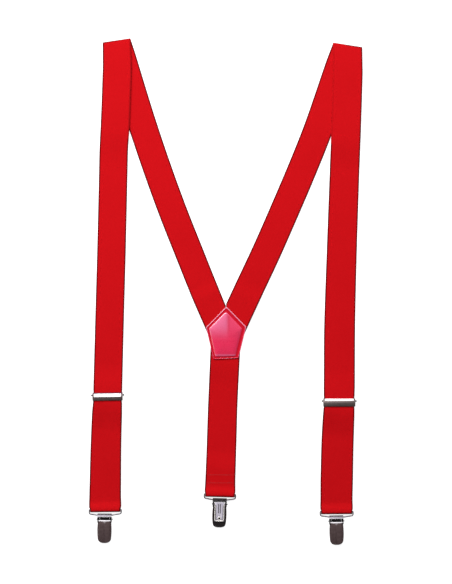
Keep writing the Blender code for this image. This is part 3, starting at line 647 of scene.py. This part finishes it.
def fold_rows(side):
    """Rows from the top of the diagonal, round the slanting shoulder fold, to the front strap."""
    (x0, y0), (x1, y1) = FOLDS[side]
    along = Vector((x1 - x0, y1 - y0, 0)).normalized()
    outward = Vector((-along.y, along.x, 0))
    radius = (OVER - LIE) / 2
    inset = radius + WEB / 2
    low_y, top_y = FOLD_LAP[side]
    low = rows_of(DIAGONAL_ROUTES[side], [(low_y, LIE), (low_y - 1, LIE)])[0]
    top = rows_of(FRONT_ROUTES[side], [(top_y, OVER), (top_y - 1, OVER)])[0]
    corner_west = Vector((x0, y0, 0)) - outward * inset
    corner_east = Vector((x1, y1, 0)) - outward * inset
    rows = []
    run_west = run_east = 0.0
    steps, turn_steps = 10, 12

    def add_row(west, east, normal):
        nonlocal run_west, run_east
        if rows:
            run_west += (west - rows[-1][0]).length
            run_east += (east - rows[-1][1]).length
        rows.append((west, east, normal, run_west, run_east))

    down = Vector((0, 0, -1))
    for k in range(steps):
        share = k / steps
        west = low[0].lerp(corner_west + Vector((0, 0, LIE)), share)
        east = low[1].lerp(corner_east + Vector((0, 0, LIE)), share)
        add_row(west, east, down)
    for k in range(turn_steps + 1):
        angle = pi * k / turn_steps
        push = outward * radius * sin(angle) + Vector((0, 0, LIE + radius * (1 - cos(angle))))
        normal = outward * sin(angle) - Vector((0, 0, cos(angle)))
        add_row(corner_west + push, corner_east + push, normal)
    for k in range(1, steps + 1):
        share = k / steps
        west = (corner_west + Vector((0, 0, OVER))).lerp(top[0], share)
        east = (corner_east + Vector((0, 0, OVER))).lerp(top[1], share)
        add_row(west, east, Vector((0, 0, 1)))
    return rows


def strap_turn(bar, reach):
    """Line along the bottom of a strap that turns round a wire loop's bar."""
    return Vector((0, bar - reach - WEB / 2, 0)), Vector((0, -1, 0))


def make_side(side, mat):
    """One side's webbing: diagonal, fold, front strap and the doubled lower strap."""
    low_y, top_y = FOLD_LAP[side]
    seat = ADJUSTER_Y[side]
    bar = STRAP_ENDS[side]
    toward = 1 if side == "right" else -1
    pinches = (seat, bar, END_FLARE[side], LOOP_INSIDE[side])

    rows = rows_of(DIAGONAL_ROUTES[side], heights(
        [(low_y, LIE), (12, LIE), (-8, YOKE_SEAT), (-54, YOKE_SEAT)]))
    mitre = (Vector((toward * 0.15, 0, 0)), Vector((-toward, 0, 0)))
    foot = (Vector((0, YOKE_JOIN + JOIN_GAP, 0)), Vector((0, -1, 0)))
    diagonal = ribbon(side + "_diagonal_webbing", rows, mat, [mitre, foot])
    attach(diagonal, "back")
    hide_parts(side + "_diagonal")

    rows = fold_rows(side)
    (x0, y0), (x1, y1) = FOLDS[side]
    outward = Vector((y0 - y1, x1 - x0, 0)).normalized()
    faint = (-toward, CROSSING_END[side] - 8, FAINT_EDGE[side])
    fold = ribbon(side + "_shoulder_fold_webbing", rows, mat,
                  turn=(Vector((x0, y0, 0)), outward), faint=faint)
    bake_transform(fold)

    leave = CROSSING_END[side]
    rows = rows_of(FRONT_ROUTES[side], heights(
        [(top_y, OVER), (leave, OVER), (leave - RAMP, LIE), (seat + RAMP, LIE),
         (seat + SEAT_ABOVE, ADJUSTER_SEAT), (seat - SEAT_BELOW, ADJUSTER_SEAT)]), *pinches)
    front = ribbon(side + "_front_webbing", rows, mat, faint=faint)
    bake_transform(front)
    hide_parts(side + "_front_strap")

    top = BAR_Z + FOLD_MIDDLE
    down = heights([(seat - SEAT_BELOW - JOIN_GAP, ADJUSTER_SEAT), (seat - LOWER_RAMP, LIE),
                    (bar, LIE)])
    back = heights([(bar, top), (bar + LOOP_RAMP, OVER), (seat - RETURN_RAMP, OVER),
                    (seat - RETURN_TOP, RETURN_SEAT), (seat - RETURN_END, RETURN_SEAT)])
    reach = TURN_REACH[side]
    points = down + turn_round_bar(bar, reach, 270, 90)[1:-1] + back
    rows = rows_of(FRONT_ROUTES[side], points, *pinches)
    lower = ribbon(side + "_lower_webbing", rows, mat, turn=strap_turn(bar, reach))
    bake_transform(lower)
    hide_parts(side + "_lower_strap")


def make_rear(mat, thread):
    """Rear webbing with its sewn hem round the clip's wire."""
    bar = STRAP_ENDS["rear"]
    hem_end = bar + REAR_HEM
    top = BAR_Z + FOLD_MIDDLE
    down = heights([(YOKE_JOIN + 3, YOKE_SEAT), (-82, YOKE_SEAT), (-112, LIE),
                    (hem_end + HEM_RAMP, LIE), (hem_end + 0.5, OVER), (bar + LOOP_RAMP, OVER),
                    (bar, top)])
    hem = [(bar - 0.01, LIE), (bar + 9, LIE), (bar + 18, LIE), (hem_end, LIE)]
    reach = TURN_REACH["rear"]
    points = down + turn_round_bar(bar, reach, 90, 270)[1:-1] + hem
    rows = rows_of(REAR_ROUTE, points, bar=bar, flare=END_FLARE["rear"],
                   limit=LOOP_INSIDE["rear"])
    head = (Vector((0, YOKE_JOIN, 0)), Vector((0, 1, 0)))
    rear = ribbon("rear_webbing", rows, mat, [head], strap_turn(bar, reach))
    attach(rear, "back")
    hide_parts("rear_strap")
    surface = OVER + WEB / 2
    stitches = []
    for above in HEM_ROWS:
        y = bar + above
        x, half, _ = plan(REAR_ROUTE, y)
        start = Vector((x - half + 1.8, y, surface))
        end = Vector((x + half - 1.8, y, surface))
        stitches.append(stitch_row(f"rear_hem_stitches_{len(stitches)}", start, end, thread))
    for row in stitches:
        row.parent = rear


def stitch_row(name, start, end, mat, pitch=2.6, length=2.0, radius=0.2, sides=8, steps=6):
    """Row of short threads that dip into the cloth at both ends."""
    bm = bmesh.new()
    run = (end - start).normalized()
    side = run.cross(Vector((0, 0, 1)))
    count = max(1, int((end - start).length / pitch))
    for k in range(count):
        first = start + run * pitch * k
        rings = []
        for j in range(steps + 1):
            share = j / steps
            middle = first + run * length * share
            middle.z += radius * (0.55 * sin(pi * share) - 0.25)
            size = radius * (0.55 + 0.45 * sin(pi * share))
            ring = []
            for i in range(sides):
                angle = 2 * pi * i / sides
                ring.append(bm.verts.new(middle + side * size * cos(angle)
                                         + Vector((0, 0, size * sin(angle)))))
            rings.append(ring)
        skin(bm, rings)
    return make_object(name, bm, mat, smooth=60.0)


# ---------------------------------------------------------------- yoke

def rounded_outline(corners, radius, corner_steps=8, side_steps=22):
    """Polygon with rounded corners, always with the same count of points."""
    count = len(corners)
    arcs = []
    for k in range(count):
        here = Vector(corners[k]).to_3d()
        to_last = (Vector(corners[k - 1]).to_3d() - here).normalized()
        to_next = (Vector(corners[(k + 1) % count]).to_3d() - here).normalized()
        half = to_last.angle(to_next) / 2
        reach = radius / max(sin(half), 0.2) * cos(half)
        start, end = here + to_last * reach, here + to_next * reach
        arc = []
        for j in range(corner_steps + 1):
            s = j / corner_steps
            arc.append((1 - s) ** 2 * start + 2 * s * (1 - s) * here + s ** 2 * end)
        arcs.append(arc)
    points = []
    for k in range(count):
        points += arcs[k]
        start, end = arcs[k][-1], arcs[(k + 1) % count][0]
        for j in range(1, side_steps):
            points.append(start.lerp(end, j / side_steps))
    return points


def crease_depth(x, y):
    """Soft crease that runs down from the yoke's top corner, between 0 and 1."""
    line = 2.2 + 0.04 * (y + 24)
    fade = smooth_step(y, -52, -28)
    return exp(-((x - line) / 2.0) ** 2) * fade


def painted_shine(x, y):
    """Share of painted reflection on the vinyl, strongest at the upper left of the panel, with a painted highlight
    line along the panel's bottom edge.
    """
    upper = smooth_step(y, -60, -36) * (0.22 + 0.70 * smooth_step(-x, -5, 1))
    return upper + 0.9 * exp(-((y + 74.2) / 0.8) ** 2)


def wrinkle(x, y):
    """Shallow cross wrinkles in the middle of the padded panel."""
    upper = exp(-((y + 53.5 - 0.03 * x) / 1.6) ** 2)
    lower = 0.7 * exp(-((y + 58.5 + 0.05 * x) / 1.4) ** 2)
    return (upper + lower) * smooth_step(15 - abs(x), 0, 8)


def make_yoke(vinyl, weld, lining):
    """The yoke's padded cover, with its rim, welded channel and raised panel, and its lining."""
    outer = rounded_outline(YOKE, 1.6)
    inner = rounded_outline(PANEL, 2.4)
    middle = Vector((-0.3, -54.0, 0))
    profile = [
        (0.05, 0.00), (0.0, 0.20), (0.0, 0.62), (0.03, 0.84), (0.08, 0.94), (0.14, 0.95),
        (0.20, 0.88), (0.26, 0.76), (0.34, 0.66), (0.46, 0.62), (0.60, 0.63), (0.72, 0.70),
        (0.82, 0.84), (0.90, 1.02), (0.96, 1.19), (1.0, PANEL_RISE),
    ]
    bm = bmesh.new()
    crease_shade_layer = bm.verts.layers.float.new("crease_shade")
    rim_highlight_layer = bm.verts.layers.float.new("rim_highlight")
    shine_layer = bm.verts.layers.float.new("painted_shine")
    rings = []
    for share, rise in profile:
        ring = []
        for one, two in zip(outer, inner):
            spot = one.lerp(two, share)
            vert = bm.verts.new((spot.x, spot.y, YOKE_LOW + rise))
            # rim_highlight: painted highlight, only on the upper edges that face the light
            vert[rim_highlight_layer] = (1 - smooth_step(share, 0.08, 0.22)) * smooth_step(spot.y, -48, -38)
            vert[shine_layer] = painted_shine(spot.x, spot.y)
            ring.append(vert)
        rings.append(ring)
    for size in (0.985, 0.96, 0.93, 0.89, 0.84, 0.78, 0.70, 0.61, 0.51, 0.41, 0.31, 0.21, 0.11):
        ring = []
        swell = 1 - size ** 4
        for two in inner:
            spot = middle + (two - middle) * size
            rise = PANEL_RISE + PANEL_SWELL * swell
            deep = crease_depth(spot.x, spot.y)
            folds = wrinkle(spot.x, spot.y)
            height = YOKE_LOW + rise - 0.45 * deep * swell - 0.10 * folds
            vert = bm.verts.new((spot.x, spot.y, height))
            vert[shine_layer] = painted_shine(spot.x, spot.y)
            # crease_shade: painted shade on the right-hand side of the crease
            if deep > 0.02:
                vert[crease_shade_layer] = 0.6 * exp(-((spot.x - 3.4) / 1.6) ** 2) * deep ** 0.3
            ring.append(vert)
        rings.append(ring)
    for row in skin(bm, rings)[WELD_ROWS[0]:WELD_ROWS[1]]:
        for face in row:
            face.material_index = 1
    cover = make_object("yoke_padded_cover", bm, vinyl, smooth=75.0)
    cover.data.materials.append(weld)
    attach(cover, "back")
    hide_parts("yoke_cover", "yoke_padding")

    bm = bmesh.new()
    rings = []
    for share, rise in ((0.06, 0.0), (0.01, 0.1), (0.0, 0.35), (0.01, 0.65), (0.05, 0.8)):
        spots = [one.lerp(two, share) for one, two in zip(outer, inner)]
        rings.append([bm.verts.new((spot.x, spot.y, rise)) for spot in spots])
    skin(bm, rings)
    backing = make_object("yoke_lining_panel", bm, lining)
    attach(backing, "back")
    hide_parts("yoke_backing")


# ---------------------------------------------------------------- hardware

def place_and_axes(place_joint, axis_joint):
    """Where one joint is, in metres, with the other's axis towards east and the direction down."""
    joints = {joint["name"]: joint for joint in frame["joints"]}
    sideways = Vector(joints[axis_joint]["axis"]).normalized()
    if sideways.x < 0:
        sideways = -sideways
    down = Vector((sideways.y, -sideways.x, 0))
    return Vector(joints[place_joint]["pos_m"]), sideways, down


def clip_axes(side):
    """Middle of a clip's roll in metres, and its directions sideways, down and forward."""
    middle, sideways, down = place_and_axes(side + "_clip_swing", side + "_lever_hinge")
    return middle, sideways, down, Vector((0, 0, 1 if side == "rear" else -1))


def mark_clip(bm, side):
    """Write each vertex's place on its clip, in millimetres: across, down and forward."""
    middle, *directions = clip_axes(side)
    names = ("across", "down", "forward")
    layers = [bm.verts.layers.float.new(name) for name in names]
    for vert in bm.verts:
        for layer, direction, start in zip(layers, directions, (0.0, 0.0, ROLL_OUTER)):
            vert[layer] = (vert.co - middle).dot(direction) / MM + start


def mark_adjuster(bm, side):
    """Write each vertex's place on its adjuster, in millimetres, and half the frame's width."""
    hinge, sideways, down = place_and_axes(side + "_flap_hinge", side + "_flap_hinge")
    middle = hinge + down * FLAP_AXIS * MM
    outside = plan(FRONT_ROUTES[side], ADJUSTER_Y[side])[1] + ADJUSTER_RIM
    names = ("down", "across", "outside")
    layers = [bm.verts.layers.float.new(name) for name in names]
    for vert in bm.verts:
        spot = (vert.co - middle) / MM
        values = (spot.dot(down) + BAND_SHIFT[side], spot.dot(sideways), outside)
        for layer, value in zip(layers, values):
            vert[layer] = value


def tube(bm, path, radius, closed, sides=8):
    """Round wire along a path of points, in the bmesh's own units."""
    rings = []
    last = len(path) - 1
    for k, point in enumerate(path):
        before = path[k - 1] if closed else path[max(k - 1, 0)]
        after = path[(k + 1) % len(path)] if closed else path[min(k + 1, last)]
        run = (after - before).normalized()
        up = Vector((0, 0, 1))
        side = run.cross(up).normalized()
        ring = []
        for i in range(sides):
            angle = 2 * pi * i / sides
            ring.append(bm.verts.new(point + side * radius * cos(angle) + up * radius * sin(angle)))
        rings.append(ring)
    skin(bm, rings, closed)


def lever_bead(side, body, mat):
    """Raised U-shaped bead round the lever's face, and the ring round its hole."""
    middle, sideways, down, forward = clip_axes(side)
    face = LEVER_BACK + LEVER_SHEET - ROLL_OUTER
    half = LEVER_HALF - BEAD_INSET
    end = LEVER_END - BEAD_INSET
    u_shape = [(half, BEAD_TOP)]
    for angle in (radians(15 * k) for k in range(7)):
        u_shape.append((half - BEAD_TURN * (1 - cos(angle)), end - BEAD_TURN * (1 - sin(angle))))
    u_shape += [(-x, y) for x, y in reversed(u_shape)]
    ring = [(RING_RADIUS * cos(angle), LEVER_HOLE_DOWN + RING_RADIUS * sin(angle))
            for angle in (2 * pi * k / 24 for k in range(24))]
    bm = bmesh.new()
    for outline, radius, closed in ((u_shape, BEAD_RADIUS, False), (ring, RING_WIRE, True)):
        path = [middle / MM + sideways * x + down * y + forward * (face + 0.05) for x, y in outline]
        tube(bm, path, radius, closed)
    bead = make_object(side + "_clip_lever_bead", bm, mat, smooth=60.0)
    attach(bead, body)


def detailed(node, body, slot, mat, bevel):
    """Copy of a metal CAD node with worn, rounded edges."""
    bm = bmesh.new()
    bm.from_mesh(frame["nodes"][node].data)
    bmesh.ops.remove_doubles(bm, verts=bm.verts, dist=0.002 * MM)
    bmesh.ops.dissolve_limit(bm, angle_limit=radians(1.5), verts=bm.verts, edges=bm.edges)
    sharp = [edge for edge in bm.edges
             if len(edge.link_faces) == 2 and edge.calc_face_angle(0) > radians(38)
             and edge.calc_length() > 0.12 * MM]
    bmesh.ops.bevel(bm, geom=sharp, offset=bevel * MM, segments=2, profile=0.5, affect="EDGES",
                    clamp_overlap=False)
    if slot in ("clip", "lever"):
        mark_clip(bm, node.split("_")[0])
    if slot == "adjuster":
        mark_adjuster(bm, node.split("_")[0])
    bmesh.ops.scale(bm, vec=(1 / MM,) * 3, verts=bm.verts)
    obj = make_object(node + "_finished", bm, mat, smooth=32.0)
    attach(obj, body)
    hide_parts(node)


def make_hardware(adjuster, plating, shaded_rear_plating, shaded_nickel, lever, bead, wire):
    """The two adjusters and three clips, each piece on the body of its CAD node."""
    listed = frame["record"]["behaviour"]["bodies"]
    bodies = {node: body for body, nodes in listed.items() for node in nodes}
    for side in ("left", "right"):
        for part, bevel in (("_adjuster_frame", 0.14), ("_adjuster_flap", 0.10)):
            detailed(side + part, bodies[side + part], "adjuster", adjuster, bevel)
    for side in ("left", "right", "rear"):
        for part, slot, mat, bevel in (
            ("_wire_loop", "wire", wire, 0.02),
            ("_clip_body", "clip", shaded_rear_plating if side == "rear" else plating, 0.10),
            # pins and jaws: shaded_nickel, a darkened copy of the plating that paints their shade
            ("_clip_pin", "clip", shaded_nickel, 0.06),
            ("_clip_jaw", "clip", shaded_nickel, 0.10),
            ("_clip_lever", "lever", lever, 0.10),
        ):
            detailed(side + part, bodies[side + part], slot, mat, bevel)
        lever_bead(side, side + "_lever", bead)


# ---------------------------------------------------------------- studio

def area_light(name, place, target, size, power):
    """White softbox that faces its target; place and size in metres, power in watts."""
    data = bpy.data.lights.new(name, "AREA")
    data.shape = "RECTANGLE"
    data.size, data.size_y = size
    data.energy = power
    light = bpy.data.objects.new(name, data)
    light.location = place
    light.rotation_euler = (Vector(target) - Vector(place)).to_track_quat("-Z", "Y").to_euler()
    bpy.context.scene.collection.objects.link(light)


def make_studio(floor_mat):
    """Pale floor, soft light from beyond the folds, and a camera straight above."""
    bm = bmesh.new()
    bmesh.ops.create_grid(bm, x_segments=4, y_segments=4, size=3000)
    floor = make_object("floor", bm, floor_mat)
    floor.location.z = -0.00005

    world = bpy.data.worlds.new("studio")
    world.use_nodes = True
    world.node_tree.nodes["Background"].inputs[0].default_value = (0.93, 0.95, 1.0, 1)
    world.node_tree.nodes["Background"].inputs[1].default_value = 0.22
    bpy.context.scene.world = world
    bpy.context.scene.view_settings.view_transform = "Standard"

    area_light("key", (-0.45, 1.75, 1.45), (0, -0.1, 0), (2.6, 1.5), 118)
    area_light("side", (-2.4, -0.2, 1.3), (0, 0, 0), (1.4, 1.4), 20)

    data = bpy.data.cameras.new("camera")
    data.sensor_fit = "VERTICAL"
    data.sensor_height = SENSOR
    data.lens = SENSOR * CAMERA_AWAY / VIEW_TALL
    data.clip_end = 50.0
    camera = bpy.data.objects.new("camera", data)
    camera.location = (0.0, 0.0006, CAMERA_AWAY + 0.003)
    bpy.context.scene.collection.objects.link(camera)
    bpy.context.scene.camera = camera


webbing_red = webbing_material()
make_studio(floor_material())
for each in ("left", "right"):
    make_side(each, webbing_red)
make_rear(webbing_red, thread_material("hem_thread", (0.36, 0.006, 0.010, 1)))
make_yoke(vinyl_material(), weld_material(), lining_material())
make_hardware(
    adjuster_material(),
    clip_material("clip_plating", (0.37, 0.33, 0.39, 1), (0.52, 0.48, 0.54, 1), 0.4),
    # rear clip: a darker copy of the clip plating, painted shade that stands in for its dark reflection
    clip_material("rear_clip_shaded_plating", (0.020, 0.016, 0.016, 1), (0.050, 0.042, 0.042, 1), 0.08),
    # shaded_nickel: a darkened copy of the plating, painted shade on the pins and jaws
    metal_material("shaded_nickel", (0.030, 0.023, 0.023, 1), (0.018, 0.014, 0.014, 1), 0.30, 0.10,
                   (9000.0, 300.0, 9000.0)),
    lever_material(),
    metal_material("polished_bead", (0.84, 0.80, 0.76, 1), (0.66, 0.62, 0.60, 1), 0.34, 0.3,
                   (9000.0, 400.0, 9000.0)),
    metal_material("plated_wire", (0.12, 0.11, 0.12, 1), (0.08, 0.075, 0.08, 1), 0.40, 0.2,
                   (6000.0, 6000.0, 6000.0)),
)
